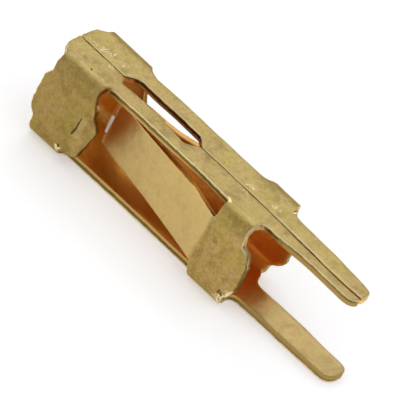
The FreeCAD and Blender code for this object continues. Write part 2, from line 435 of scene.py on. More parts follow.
# %% The two windows and the three even loops
NEAR_RAIL = 4.242
FAR_RAIL = 4.185
near_arm = spring_arm(
    [(6.04, 1.83), (5.3, 1.885), (4.4, 1.935), (3.0, 1.945), (2.22, 1.94)],
    [(2.16, 3.475), (3.0, 3.475), (4.4, 3.53), (5.1, 3.56), (5.8, 3.49), (6.09, 3.455)])
far_arm = spring_arm(
    [(6.04, 1.65), (5.3, 1.68), (4.4, 1.78), (3.0, 1.82), (2.22, 1.82)],
    [(2.16, 3.31), (2.5, 3.29), (2.95, 3.21), (3.4, 3.18), (3.9, 3.22), (4.4, 3.26), (5.3, 3.33),
     (6.05, 3.39)])
shared_foot = window_front[18:]
far_front = [
    (1.72, 4.22), (1.50, 4.14), (1.36, 4.03), (1.27, 3.86), (1.23, 3.70), (1.22, 3.58), (1.25, 3.40),
    (1.29, 3.20), (1.33, 3.02), (1.38, 2.88), (1.44, 2.72), (1.50, 2.60), (1.60, 2.50), (1.72, 2.40),
    (1.75, 2.2), (1.72, 2.0),
] + shared_foot
far_rear_high = [(6.12, 3.48), (6.07, 3.78), (6.03, 3.95), (5.96, 4.09), (5.84, 4.16), (5.5, 4.18)]
near_window = even_loop(window(-1, window_front, window_rear_low, near_arm, window_rear_high, NEAR_RAIL))
far_window = even_loop(window(1, far_front, window_rear_low, far_arm, far_rear_high, FAR_RAIL))
outline = even_loop(outer)
loops = [(outline, 1), (near_window, -1), (far_window, -1)]
print("points in the loops:", [len(loop) for loop, sense in loops])

# %% [markdown]
# ### Rounded edges
#
# A punched edge is rounded on the side where the punch came in, is smooth below that and a little sharp on
# the other side. So each loop carries a set of rings from the outer skin over the rim to the inner skin. A
# bevel modifier would do this for a mesh with even edges, but the radius here changes from place to place.


# %% Edge rings
def smooth(value, start, end):
    """0 before start, 1 after end and an S between."""
    t = np.clip((value - start) / (end - start), 0, 1)
    return t * t * (3 - 2 * t)


def ring_insets(loop, sense, size):
    """How far each point of a loop can be moved into the sheet, up to size, and the normals for the move.
    Where neighbours would cross, the distance is cut to 0.7 of itself until they don't."""
    room = np.array(size, float) * np.ones(len(loop))
    normal = inward(loop, sense)
    step = np.roll(loop, -1, 0) - loop
    for _ in range(12):
        moved = loop + normal * room[:, None]
        new_step = np.roll(moved, -1, 0) - moved
        bad = (new_step * step).sum(1) < 0.3 * (step * step).sum(1)
        if not bad.any():
            break
        bad |= np.roll(bad, 1)
        for shift in (-2, -1, 1, 2):
            bad |= np.roll(bad, shift)
        room[bad] *= 0.7
    return room, normal


EDGE_RADIUS = 0.038
TAIL_EDGE_RADIUS = 0.095


def edge_radius(loop):
    """Rounding radius at each point: EDGE_RADIUS with slow waves of up to 0.01 mm, and TAIL_EDGE_RADIUS
    along the near edge of the top tail, where the sheet was rolled over."""
    x, a = loop.T
    uneven = EDGE_RADIUS + 0.006 * np.sin(3.1 * x + 2.0 * a) + 0.004 * np.sin(7.3 * x - 5.1 * a)
    tail = smooth(x, 7.5, 8.1) * (a < -4.3) * (a > -4.75)
    return uneven + tail * (TAIL_EDGE_RADIUS - uneven)


print("edge radius on the blank's outline:", edge_radius(outline).min().round(3), "to",
      edge_radius(outline).max().round(3), "mm")


# %% [markdown]
# ### Triangles inside the outline
#
# The inside is filled with rows of points, closer where the sheet bends, and joined into triangles that
# respect the loops. This is the Delaunay triangulation that Blender offers in its own maths module. One big
# face with holes would be shorter to write, but it can't bend.


# %% Points inside
def levels(stops):
    """Numbers from the first stop to the last. Each stop is (value, step), with that step used up to the
    next stop."""
    out = [np.array([stops[0][0]])]
    for (start, step), (end, _) in zip(stops[:-1], stops[1:]):
        count = max(1, int(round((end - start) / step)))
        out.append(start + (end - start) * np.arange(1, count + 1) / count)
    return np.concatenate(out)


def inside(points, edges):
    """True for each point that an odd number of edges of the loops passes to the right of."""
    start, end = edges
    odd = np.zeros(len(points), bool)
    for first in range(0, len(points), 2000):
        x, a = points[first:first + 2000, 0:1], points[first:first + 2000, 1:2]
        crosses = (start[:, 1] > a) != (end[:, 1] > a)
        with np.errstate(divide="ignore", invalid="ignore"):
            at = start[:, 0] + (a - start[:, 1]) * (end[:, 0] - start[:, 0]) / (end[:, 1] - start[:, 1])
        odd[first:first + 2000] = (crosses & (at > x)).sum(1) % 2 == 1
    return odd


def far_from(points, others, least):
    """True for each point that lies further than least from all the others."""
    keep = np.zeros(len(points), bool)
    for first in range(0, len(points), 1000):
        part = points[first:first + 1000, None, :]
        keep[first:first + 1000] = ((part - others[None]) ** 2).sum(2).min(1) > least ** 2
    return keep


print("levels from 0 to 1 by 0.25:", levels([(0, 0.25), (1, 0.25)]))

# %% Rows and columns of points
ROW_SHIFT = 0.02
PAST_FOLD = 0.05
half_levels = levels([
    (0, 0.12), (FLAT - PAST_FOLD, 0.055), (LOW_FOLD_END + PAST_FOLD, 0.11), (WALL_END - PAST_FOLD, 0.055),
    (TOP_START + PAST_FOLD, 0.085), (GIRTH, 0.085),
])
a_levels = np.concatenate([-half_levels[:0:-1], half_levels])
x_levels = levels([(-0.5, 0.07), (1.1, 0.045), (2.3, 0.10), (5.7, 0.05), (6.3, 0.09), (10.95, 0.09)])
grid = np.stack(np.meshgrid(x_levels, a_levels), -1)
grid[1::2, :, 0] += ROW_SHIFT
grid = grid.reshape(-1, 2)
print("grid points before trimming:", len(grid))

# %% Triangulation of the blank
LEAST_GAP = 0.030
rings = []
for loop, sense in loops:
    room, normal = ring_insets(loop, sense, edge_radius(loop))
    rings.append((loop, normal, room))
skin_loops = [loop + normal * room[:, None] for loop, normal, room in rings]
skin_edge = np.vstack(skin_loops)
segments = (skin_edge, np.vstack([np.roll(loop, -1, 0) for loop in skin_loops]))
grid = grid[far_from(grid, skin_edge, LEAST_GAP)]
grid = grid[inside(grid, segments)]
flat_points = np.vstack([skin_edge, grid])
constraint = []
first = 0
for loop in skin_loops:
    index = np.arange(len(loop)) + first
    constraint += list(zip(index.tolist(), np.roll(index, -1).tolist()))
    first += len(loop)
print("points on the edges:", len(skin_edge), "and between them:", len(grid))

# %% Triangles between the points
answer = delaunay_2d_cdt([Vector(p) for p in flat_points], constraint, [], 0, 1e-7)
if len(answer[0]) != len(flat_points):
    raise RuntimeError("edges of the blank cross: %d points became %d" % (len(flat_points), len(answer[0])))
source = np.array([origin[0] for origin in answer[3]])
triangles = source[np.array(answer[2])]
centres = flat_points[triangles].mean(1)
triangles = triangles[inside(centres, segments)]
p, q, r = (flat_points[triangles[:, k]] for k in range(3))
double_area = (q[:, 0] - p[:, 0]) * (r[:, 1] - p[:, 1]) - (r[:, 0] - p[:, 0]) * (q[:, 1] - p[:, 1])
triangles[double_area > 0] = triangles[double_area > 0][:, ::-1]
area = abs(double_area).sum() / 2
print("blank:", len(flat_points), "points,", len(triangles), "triangles,", round(area, 2), "mm2")

# %% [markdown]
# ### Folding
#
# One function says where each point of the blank goes. The section of the box is flat, a quarter circle,
# flat, a quarter circle, flat. A spring arm leaves its wall at the root, runs inward in a straight line and
# turns out again in a small lip at its tip.


# %% Box section
def box_section(a):
    """Outer skin of the folded box at distance a round it: y and z. Flat for FLAT, a quarter circle of
    radius FOLD, straight up for WALL, a quarter circle again, and flat to the seam."""
    side, d = np.sign(a), np.abs(a)
    low = np.clip((d - FLAT) / FOLD, 0, math.pi / 2)
    high = np.clip((d - WALL_END) / FOLD, 0, math.pi / 2)
    y = np.minimum(d, FLAT) + FOLD * np.sin(low) - FOLD * (1 - np.cos(high)) - np.maximum(d - TOP_START, 0)
    z = FOLD * (1 - np.cos(low)) + np.clip(d - LOW_FOLD_END, 0, WALL) + FOLD * np.sin(high)
    return side * y, z


print("outer skin at the seam: z =", box_section(np.array([GIRTH]))[1].round(3), "mm")

# %% Middle line of a spring arm, seen from above
line_s = np.linspace(-0.3, SPRING_LENGTH + 0.3, 4000)
bend_end = ROOT_RADIUS * LEAN
lip_start = bend_end + SPRING_RUN
lip_share = np.clip((line_s - lip_start) / (LIP_RADIUS * LIP), 0, 1)
line_angle = LEAN * np.clip(line_s / bend_end, 0, 1) - LIP * lip_share
line_step = line_s[1] - line_s[0]
line_run = np.cumsum(np.cos(line_angle)) * line_step
line_in = np.cumsum(np.sin(line_angle)) * line_step
line_run -= np.interp(0, line_s, line_run)
line_in -= np.interp(0, line_s, line_in)
print("the arm leans in by", round(float(line_in.max()), 2), "mm")


# %% The fold of the whole blank
ARM_FOOT = (1.40, 1.78)
ARM_HEAD = (3.60, 3.95)
ARM_FRONT = 1.95
ROOT_LENGTH = 1.2


def folded(x, a):
    """Place of blank point (x, a) on the outer skin: the box section, moved to the spring line where the
    point belongs to a spring arm. Over ROOT_LENGTH from the root the arm keeps the curve of the fold."""
    y, z = box_section(a)
    side, m = np.sign(a), np.abs(a)
    arm = smooth(m, *ARM_FOOT) * (1 - smooth(m, *ARM_HEAD)) * (x > ARM_FRONT) * (x < SPRING_ROOT)
    s = (SPRING_ROOT - x) * SPRING_STRETCH
    run = np.interp(s, line_s, line_run)
    into = np.interp(s, line_s, line_in)
    curve = 1 - smooth(s, 0.0, ROOT_LENGTH)
    arm_y = side * (WIDTH / 2 - into - curve * (WIDTH / 2 - np.abs(y)))
    arm_z = FOLD + (m - LOW_FOLD_END)
    arm_z = arm_z + curve * (z - arm_z)
    new_x = x + arm * (SPRING_ROOT - run - x)
    return np.stack([new_x, y + arm * (arm_y - y), z + arm * (arm_z - z)], -1)


def normal_of(surface, x, a):
    """Unit normal of a surface, outward, from small steps in both directions."""
    h = 0.004
    along = surface(x + h, a) - surface(x - h, a)
    around = surface(x, a + h) - surface(x, a - h)
    n = np.cross(around, along)
    return n / np.linalg.norm(n, axis=-1, keepdims=True)


arm_tip = folded(np.array([SPRING_TIP]), np.array([-2.7]))
print("tip of the near arm:", arm_tip.round(3), "mm")

# %% Dents and unevenness
CREASE_X = 1.295
BENT_SLOPE = 0.24
CREASE_STEP = 0.014
SKIN_DEPTH = 0.004
WAVE_HEIGHT = 0.0012


def dent(x, a):
    """How far the skin is pressed in at each point: a strip of the near front collar, bent in with
    BENT_SLOPE beyond a crease with a small step, and slow waves all over, which stay inside the box."""
    m = np.abs(a)
    crease = CREASE_X - 0.05 * (2.82 - m)
    collar = (x < ARM_FRONT) * (a < 0)
    strip = smooth(m, 1.85, 2.25) * (1 - smooth(m, 2.85, 3.2)) * collar
    step_strip = smooth(m, 2.1, 2.35) * (1 - smooth(m, 2.75, 3.0)) * collar
    bent = np.maximum(x - crease, 0) * BENT_SLOPE * strip
    bent = bent + CREASE_STEP * smooth(x, crease - 0.05, crease) * step_strip
    waves = np.sin(2.1 * x + 1.3 * a) + np.sin(3.7 * x - 2.9 * a + 1.0) + np.sin(5.3 * x + 4.1 * a + 2.0)
    return bent + SKIN_DEPTH + WAVE_HEIGHT * waves


def outer_skin(x, a):
    """The folded skin with its dents."""
    return folded(x, a) - normal_of(folded, x, a) * dent(x, a)[..., None]


def sheet_point(x, a, depth):
    """Point of the sheet at depth below its outer skin."""
    return outer_skin(x, a) - normal_of(outer_skin, x, a) * depth[..., None]


print("depth of the dent behind the crease:", dent(np.array([1.6]), np.array([-2.5])).round(3), "mm")

# %% [markdown]
# ### From skin to solid sheet
#
# The sheet is its outer skin, its inner skin at depth SHEET below it, and the rings of every edge between
# the two. A solidify modifier would give the thickness too, but not the rounded upper edge and the flat
# sheared face under it.

# %% Rings over an edge
INNER_ROUND = 0.014


def ring_profile(radius):
    """Rings over one edge, as (inset, depth): a quarter circle of the local radius, the sheared face, and
    a small rounding of INNER_ROUND at the inner skin."""
    turn = [math.radians(k) for k in (28, 56, 90)]
    first = [(radius * (1 - math.sin(t)), radius * (1 - math.cos(t))) for t in turn]
    zero = np.zeros_like(radius)
    low = SHEET - INNER_ROUND
    last = [(zero, zero + 0.10), (zero, zero + 0.135), (zero, zero + 0.165), (zero, zero + low),
            (zero + 0.3 * INNER_ROUND, zero + SHEET - 0.3 * INNER_ROUND)]
    return first + last + [(np.minimum(zero + INNER_ROUND, radius), zero + SHEET)]


print("rings over an edge:", len(ring_profile(np.array([EDGE_RADIUS]))))

# %% Points of the solid sheet
edge_count = len(skin_edge)
grid_count = len(grid)
radius = np.concatenate([room for loop, normal, room in rings])
base = np.vstack([loop for loop, normal, room in rings])
into_sheet = np.vstack([normal for loop, normal, room in rings])
zero = np.zeros(edge_count)
layers = [(skin_edge, zero)]
for inset, depth in ring_profile(radius):
    layers.append((base + into_sheet * inset[:, None], depth))
flat_all = np.vstack([layer[0] for layer in layers] + [grid, grid])
depth_all = np.concatenate(
    [layer[1] for layer in layers] + [np.zeros(grid_count), np.full(grid_count, SHEET)])
points = sheet_point(flat_all[:, 0], flat_all[:, 1], depth_all)
ring_total = len(layers) * edge_count
outer_index = np.concatenate([np.arange(edge_count), ring_total + np.arange(grid_count)])
inner_index = np.concatenate([
    ring_total - edge_count + np.arange(edge_count), ring_total + grid_count + np.arange(grid_count)])
print("sheet points:", len(points))

# %% Faces of the sheet
skin_faces = outer_index[triangles]
back_faces = inner_index[triangles][:, ::-1]
rim_faces = []
first = 0
for (loop, normal, room), (_, sense) in zip(rings, loops):
    here = np.arange(len(loop)) + first
    after = np.roll(here, -1)
    x, a = loop.T
    turn = np.sign(np.sum(x * np.roll(a, -1) - np.roll(x, -1) * a)) * sense
    for layer in range(len(layers) - 1):
        up, down = layer * edge_count, (layer + 1) * edge_count
        quad = np.stack([here + up, after + up, after + down, here + down], 1)
        rim_faces.append(quad if turn > 0 else quad[:, ::-1])
    first += len(loop)
rim_faces = np.vstack(rim_faces)
print("triangles on the skins:", len(skin_faces) + len(back_faces))
print("quads on the rim:", len(rim_faces))


# %% Mesh object
def mesh_object(name, points_mm, faces):
    """Mesh object from points in millimetres from the mouth, moved to the frame's own place, in metres."""
    metres = (points_mm + (MOUTH_X, 0, 0)) / 1000
    mesh = bpy.data.meshes.new(name)
    mesh.from_pydata(metres.tolist(), [], faces)
    mesh.polygons.foreach_set("use_smooth", np.ones(len(mesh.polygons), bool))
    mesh.update()
    ob = bpy.data.objects.new(name, mesh)
    bpy.context.scene.collection.objects.link(ob)
    return ob


sheet = mesh_object("folded_sheet", points, skin_faces.tolist() + back_faces.tolist() + rim_faces.tolist())
sheet_bm = bmesh.new()
sheet_bm.from_mesh(sheet.data)
open_edges = sum(1 for e in sheet_bm.edges if len(e.link_faces) != 2)
print("open edges:", open_edges, "volume:", round(sheet_bm.calc_volume(signed=True) * 1e9, 3), "mm3")
sheet_bm.free()

# %% [markdown]
# ### Marks on the mesh
#
# The material has to know where on the sheet it is: how deep below the outer skin, on the rim or not, on a
# torn edge or a punched one, inside the box or outside. Each mesh point stores that as numbers of its own,
# which is exact here, where painting them on an image would blur over the thin rim.

# %% Marks that the material reads
def point_mark(name, values):
    """Stores one number per mesh point under a name, for the material's Attribute node."""
    mark = sheet.data.attributes.new(name, "FLOAT", "POINT")
    mark.data.foreach_set("value", np.ascontiguousarray(values, dtype=np.float32))


ring_rim = [0.15, 0.55, 0.85] + [1.0] * (len(layers) - 5) + [0.8, 0.0]
rim_all = np.concatenate([np.full(edge_count, value) for value in ring_rim] + [np.zeros(2 * grid_count)])
point_mark("rim", rim_all)
point_mark("depth", depth_all / SHEET)
point_mark("broken", torn_off(*flat_all.T))
hollow = (1 - smooth(flat_all[:, 0], 6.9, 8.4)) * smooth(flat_all[:, 0], -0.45, 0.15)
point_mark("hollow", hollow)
blank_mark = sheet.data.attributes.new("blank", "FLOAT_VECTOR", "POINT")
blank_mark.data.foreach_set("vector", np.column_stack([flat_all, 0 * depth_all]).astype(np.float32).ravel())
print("marks stored:", [a.name for a in sheet.data.attributes if a.data_type == "FLOAT"])

# %% [markdown]
# ## Gold
#
# The plating is a thin, satin gold on rolled strip. Its colour drifts between greenish yellow and a pinkish
# tan, and it is duller where fingers and other contacts rubbed it. The sheared edges show the alloy: a
# bright line where the punch rolled the edge, which is a painted highlight, a dark band that is partly
# burnished and partly painted shade, and a rough tan band. Inside the box light has been reflected by gold
# several times, which turns it orange, and that orange is partly painted in. Node groups hold the effects
# that stand alone, so that each can be tried by itself. One image painted over the whole sheet would be
# another way, but it would blur on the rim and could not be tuned.


# %% Helpers for colours and masks
def new_group(name, inputs, outputs):
    """Empty node group with the given sockets, each as (name, kind). Returns the tree and its end nodes."""
    tree = bpy.data.node_groups.new(name, "ShaderNodeTree")
    for sockets, side in ((inputs, "INPUT"), (outputs, "OUTPUT")):
        for label, kind in sockets:
            tree.interface.new_socket(label, in_out=side, socket_type="NodeSocket" + kind)
    return tree, tree.nodes.new("NodeGroupInput"), tree.nodes.new("NodeGroupOutput")


def noise(tree, vector, scale, detail=2.0, roughness=0.5, distortion=0.0):
    """Value of a Noise texture, with scale in waves per metre."""
    node = make_node(tree, "ShaderNodeTexNoise", Vector=vector, Scale=scale, Detail=detail,
                     Roughness=roughness, Distortion=distortion)
    return node.outputs[0]


def ramp(tree, value, low, high, start=0.0, end=1.0):
    """Value mapped from low..high to start..end in an S, and held outside."""
    node = make_node(tree, "ShaderNodeMapRange", Value=value, From_Min=low, From_Max=high, To_Min=start,
                     To_Max=end)
    node.interpolation_type = "SMOOTHSTEP"
    return node.outputs[0]


def product(tree, *values):
    """Product of sockets and numbers."""
    total = values[0]
    for value in values[1:]:
        total = maths(tree, "MULTIPLY", total, value)
    return total


def between(tree, value, start, full, fade, end):
    """1 where value lies from full to fade, 0 before start and after end, and an S on both flanks."""
    return product(tree, ramp(tree, value, start, full), ramp(tree, value, fade, end, 1.0, 0.0))


def blend(tree, factor, first, second):
    """Colour between first and second, each a socket or an (r, g, b)."""
    node = tree.nodes.new("ShaderNodeMix")
    node.data_type = "RGBA"
    feed(tree, node.inputs[0], factor)
    for socket, value in ((node.inputs[6], first), (node.inputs[7], second)):
        feed(tree, socket, (*value, 1) if isinstance(value, tuple) else value)
    return node.outputs[2]


def tint(tree, colour, strength, mask, second):
    """The colour mixed toward a second one where a mask is 1, by strength at most."""
    return blend(tree, product(tree, mask, strength), colour, second)


print("colour helpers ready: new_group, noise, ramp, product, between, blend, tint")

# %% [markdown]
# ### Colour of the plating
#
# Plating this thin lets some of the alloy show through, so the gold isn't one colour. Noise of four sizes
# mixes greenish gold, tan and pinkish patches, then brown grime and fine grain from the rolls, and last a
# few pale specks. Each layer is one noise and one colour, so a layer can be weakened without touching the
# others.

# %% Colours of the plating
GREEN_GOLD = (0.438, 0.316, 0.077)
TAN_GOLD = (0.475, 0.326, 0.102)
PINK_PATCH = (0.51, 0.325, 0.145)
GRIME = (0.24, 0.155, 0.038)
GRAIN = (0.31, 0.21, 0.063)
SPECK = (0.62, 0.50, 0.22)
tree, start, end = new_group(
    "plating_colour", [("Vector", "Vector")], [("Color", "Color"), ("Dull", "Float")])
place = start.outputs[0]
broad = ramp(tree, noise(tree, place, 620, 3.0, 0.55, 0.4), 0.38, 0.62)
patch = ramp(tree, noise(tree, place, 1350, 4.0, 0.6, 0.8), 0.47, 0.66)
grime = ramp(tree, noise(tree, place, 2300, 6.0, 0.72, 0.4), 0.47, 0.66)
grain = ramp(tree, noise(tree, place, 9500, 5.0, 0.8), 0.45, 0.60, 0.0, 0.68)
specks = ramp(tree, noise(tree, place, 17000, 2.0, 0.7), 0.56, 0.70)
colour = blend(tree, broad, GREEN_GOLD, TAN_GOLD)
colour = tint(tree, colour, 0.70, patch, PINK_PATCH)
colour = tint(tree, colour, 0.66, grime, GRIME)
colour = blend(tree, grain, colour, GRAIN)
colour = tint(tree, colour, 0.30, specks, SPECK)
dull = maths(tree, "ADD", product(tree, grime, 0.6), product(tree, broad, 0.4))
tree.links.new(colour, end.inputs["Color"])
tree.links.new(dull, end.inputs["Dull"])
print("plating_colour has", len(tree.nodes), "nodes")

# %% [markdown]
# ### Colour of the sheared edges
#
# A punch first rolls the sheet's edge over, then shears it smooth, and the last third breaks off rough.
# Those are three bands across the rim, so the group needs the depth below the outer skin. Where the blank
# was broken from its strip by hand, the whole face is rough and chipped. A little noise in the depth keeps
# the bands from looking ruled.

# %% Colours of the sheared edges
SHEARED_DARK = (0.13, 0.088, 0.018)
SHEARED_LIGHT = (0.25, 0.165, 0.035)
CHIP_DARK = (0.34, 0.24, 0.105)
CHIP_LIGHT = (0.60, 0.47, 0.27)
ROUGH_BAND = (0.60, 0.40, 0.15)
ROLLED_EDGE_HIGHLIGHT = (0.74, 0.60, 0.31)
tree, start, end = new_group(
    "sheared_edge", [("Vector", "Vector"), ("Depth", "Float"), ("Broken", "Float")],
    [("Color", "Color"), ("Rough", "Float")])
place, depth_in, broken_in = start.outputs[0], start.outputs[1], start.outputs[2]
wobble = product(tree, maths(tree, "SUBTRACT", noise(tree, place, 5200, 3.0), 0.5), 0.28)
depth = maths(tree, "ADD", depth_in, wobble)
# The rolled band's pale colour is a painted highlight, and the dark sheared band is partly painted shade.
rolled = ramp(tree, depth, 0.14, 0.26, 1.0, 0.0)
torn = ramp(tree, depth, 0.56, 0.70)
band = blend(tree, noise(tree, place, 3000, 3.0), SHEARED_DARK, SHEARED_LIGHT)
chips = ramp(tree, noise(tree, place, 5000, 5.0, 0.65), 0.36, 0.62)
band = tint(tree, band, 0.85, broken_in, blend(tree, chips, CHIP_DARK, CHIP_LIGHT))
band = blend(tree, torn, band, ROUGH_BAND)
band = blend(tree, rolled, band, ROLLED_EDGE_HIGHLIGHT)
tree.links.new(band, end.inputs["Color"])
tree.links.new(maths(tree, "ADD", product(tree, torn, 0.25), 0.28), end.inputs["Rough"])
print("sheared_edge has", len(tree.nodes), "nodes")

# %% [markdown]
# ### Relief
#
# Rolled strip carries fine lines along the rolling direction, pits, and a slow waviness that breaks up its
# reflections. They are a few hundredths of a millimetre at most, too small for the mesh, so they go into a
# bump.

# %% Relief of rolled strip
LINE_STRETCH = (0.22, 1.0, 1.0)
tree, start, end = new_group("rolled_relief", [("Vector", "Vector")], [("Height", "Float")])
place = start.outputs[0]
stretched = make_node(tree, "ShaderNodeVectorMath", i0=place, i1=LINE_STRETCH)
stretched.operation = "MULTIPLY"
lines = noise(tree, stretched.outputs[0], 16000, 2.0, 0.6)
pits = noise(tree, place, 7000, 4.0, 0.6)
slow = noise(tree, place, 1300, 2.0, 0.5)
height = maths(tree, "ADD", product(tree, lines, 0.25), product(tree, pits, 0.6))
height = maths(tree, "ADD", height, product(tree, slow, 2.0))
tree.links.new(height, end.inputs["Height"])
print("rolled_relief has", len(tree.nodes), "nodes")

# %% [markdown]
# ### Strokes
#
# A scratch, a scuff or a shadow in a crease has a place of its own, so each is drawn as a stroke between
# two points of the flat blank. The group measures how far a point is from that line and fades the stroke
# over its width. Texture painting would do the same by hand, but these strokes stay numbers that can be
# moved.

# %% Stroke mask in the blank's own coordinates
tree, start, end = new_group(
    "stroke", [("Blank", "Vector"), ("From", "Vector"), ("To", "Vector"), ("Width", "Float")],
    [("Mask", "Float")])


def vector_maths(tree, operation, *values):
    """Vector Math node on vectors or sockets."""
    node = make_node(tree, "ShaderNodeVectorMath", **{"i%d" % k: value for k, value in enumerate(values)})
    node.operation = operation
    return node


along = vector_maths(tree, "SUBTRACT", start.outputs["To"], start.outputs["From"]).outputs[0]
here = vector_maths(tree, "SUBTRACT", start.outputs["Blank"], start.outputs["From"]).outputs[0]
length = vector_maths(tree, "DOT_PRODUCT", along, along).outputs["Value"]
reach = vector_maths(tree, "DOT_PRODUCT", here, along).outputs["Value"]
share = maths(tree, "DIVIDE", reach, length, clamp=True)
foot_node = vector_maths(tree, "SCALE", along)
tree.links.new(share, foot_node.inputs["Scale"])
gap = vector_maths(tree, "DISTANCE", here, foot_node.outputs[0]).outputs["Value"]
mask = ramp(tree, maths(tree, "DIVIDE", gap, start.outputs["Width"]), 0.35, 1.0, 1.0, 0.0)
tree.links.new(mask, end.inputs["Mask"])
print("stroke has", len(tree.nodes), "nodes")

# %% [markdown]
# ### The material and what it reads
#
# The material takes its noise from Object coordinates, which stay with the part, and its zones from the
# marks on the mesh. around is the distance round the box from the middle of the bottom wall, the same on
# both sides.

# %% Material, marks and groups
gold = bpy.data.materials.new("gold_plating")
gold.use_nodes = True
tree = gold.node_tree
shader = tree.nodes["Principled BSDF"]
place = make_node(tree, "ShaderNodeTexCoord").outputs["Object"]


def attribute(name, output="Fac"):
    """Value or vector of a point mark of the mesh."""
    node = tree.nodes.new("ShaderNodeAttribute")
    node.attribute_name = name
    return node.outputs[output]


def use_group(name, **inputs):
    """A node that holds the named group, with its inputs fed."""
    node = tree.nodes.new("ShaderNodeGroup")
    node.node_tree = bpy.data.node_groups[name]
    for label, value in inputs.items():
        feed(tree, node.inputs[label], value)
    return node


def strokes(marks):
    """Highest of several stroke masks, each given as (x, a) of its two ends and a width in millimetres."""
    total = None
    for first, last, width in marks:
        node = use_group("stroke", Blank=blank, From=(*first, 0), To=(*last, 0), Width=width)
        one = node.outputs["Mask"]
        total = one if total is None else maths(tree, "MAXIMUM", total, one)
    return total


rim = attribute("rim")
depth = attribute("depth")
hollow_here = attribute("hollow")
broken = attribute("broken")
blank = attribute("blank", "Vector")
blank_parts = make_node(tree, "ShaderNodeSeparateXYZ", Vector=blank)
along_x = blank_parts.outputs[0]
around = maths(tree, "ABSOLUTE", blank_parts.outputs[1])
plating = use_group("plating_colour", Vector=place)
sheared = use_group("sheared_edge", Vector=place, Depth=depth, Broken=broken)
relief = use_group("rolled_relief", Vector=place)
print("groups:", [g.name for g in bpy.data.node_groups])

# %% [markdown]
# ### Walls, folds and springs
#
# The spring faces are the smoothest part. They are painted brightest, and the top wall a little paler than
# the sides, as the light falls on them; the front collar is the darkest. Where the sheet bends, a painted
# highlight runs along the fold as a soft line, and small painted highlights sit beside the crease and the
# pit. Each of these is a mask from the place on the blank and one colour.

# %% Zones of the outer skin
SPRING_LIT_GOLD = (0.74, 0.545, 0.23)
TOP_LIT_GOLD = (0.72, 0.64, 0.37)
COLLAR_BROWN = (0.20, 0.13, 0.03)
FOLD_HIGHLIGHT = (0.62, 0.54, 0.22)
DENT_HIGHLIGHT = (0.56, 0.44, 0.19)
arm_height = between(tree, around, 1.45, 1.60, 3.65, 3.80)
arm_front = ramp(tree, along_x, 1.94, 1.98)
tilted = maths(tree, "ADD", along_x, product(tree, around, -0.05))
spring_face = product(tree, ramp(tree, tilted, 5.86, 6.00, 1.0, 0.0), arm_front, arm_height)
top_wall = ramp(tree, around, 4.02, 4.30)
front_wall = product(
    tree, ramp(tree, along_x, 1.2, 1.9, 1.0, 0.0), ramp(tree, around, 3.7, 4.1, 1.0, 0.0))
# Painted highlights along the upper and lower folds.
fold_highlight = strokes([
    ((-0.10, -4.06), (1.20, -4.15), 0.14), ((6.15, -4.08), (7.00, -4.13), 0.14),
    ((0.02, -1.16), (0.98, -1.20), 0.20), ((6.30, -1.16), (7.30, -1.16), 0.20),
])
# Painted highlights beside the crease and the pit.
dent_highlights = strokes([((1.38, -2.80), (1.38, -2.30), 0.16), ((0.62, -4.23), (0.63, -4.20), 0.10)])
# Painted light: the spring faces lighter and the top wall paler, as the light falls on them.
colour = tint(tree, plating.outputs["Color"], 0.55, spring_face, SPRING_LIT_GOLD)
colour = tint(tree, colour, 0.17, top_wall, TOP_LIT_GOLD)
colour = tint(tree, colour, 0.30, front_wall, COLLAR_BROWN)
colour = tint(tree, colour, 0.35, fold_highlight, FOLD_HIGHLIGHT)
colour = tint(tree, colour, 0.35, dent_highlights, DENT_HIGHLIGHT)
print("nodes with the walls, folds and springs:", len(tree.nodes))

# %% [markdown]
# ### Marks of wear and work, with painted shade and glints
#
# The tools left a crease in the front collar, a small pit in the upper fold and burrs at the collars' rear
# corners, and the seam's edges are scuffed where the two halves of the wall met. Dark marks are dirt and
# painted shade, the bright ones are bare, burnished gold and painted glints, and the scuffs are broken up
# by fine noise.

# %% Dark marks
DIRT_AND_SHADE = (0.06, 0.036, 0.010)
SHADE = (0.20, 0.13, 0.045)
# Painted shade in the crease and the pit, and dark spots at the burrs that are dirt and shade together.
dark = strokes([
    ((1.312, -2.86), (1.302, -2.70), 0.028), ((1.302, -2.70), (1.300, -2.50), 0.036),
    ((1.300, -2.50), (1.255, -2.28), 0.046), ((0.61, -4.235), (0.64, -4.215), 0.045),
    ((1.06, -1.68), (1.10, -1.63), 0.055), ((7.35, -1.72), (7.39, -1.80), 0.075),
    ((7.27, -1.80), (7.26, -1.71), 0.05), ((7.45, -1.83), (7.47, -1.86), 0.04),
    ((7.19, 4.37), (7.20, 4.33), 0.045),
])
shadows = strokes([((1.60, -2.95), (1.72, -2.20), 0.14), ((6.10, -3.42), (6.30, -1.75), 0.11)])
colour = tint(tree, colour, 0.88, dark, DIRT_AND_SHADE)
colour = tint(tree, colour, 0.25, shadows, SHADE)
print("nodes with the dark marks:", len(tree.nodes))

# %% Bright marks
SEAM_HIGHLIGHT = (0.80, 0.68, 0.36)
BARE_GOLD_AND_GLINT = (1.0, 0.85, 0.48)
# Painted highlight along the rolled far edge of the seam in the tail.
seam_edge = [
    (7.1, GIRTH + 0.01), (8.2, GIRTH + 0.05), (9.15, GIRTH + 0.085), (10.0, GIRTH + 0.08),
    (10.4, GIRTH + 0.07),
]
seam_highlight = strokes([(one, other, 0.075) for one, other in zip(seam_edge[:-1], seam_edge[1:])])
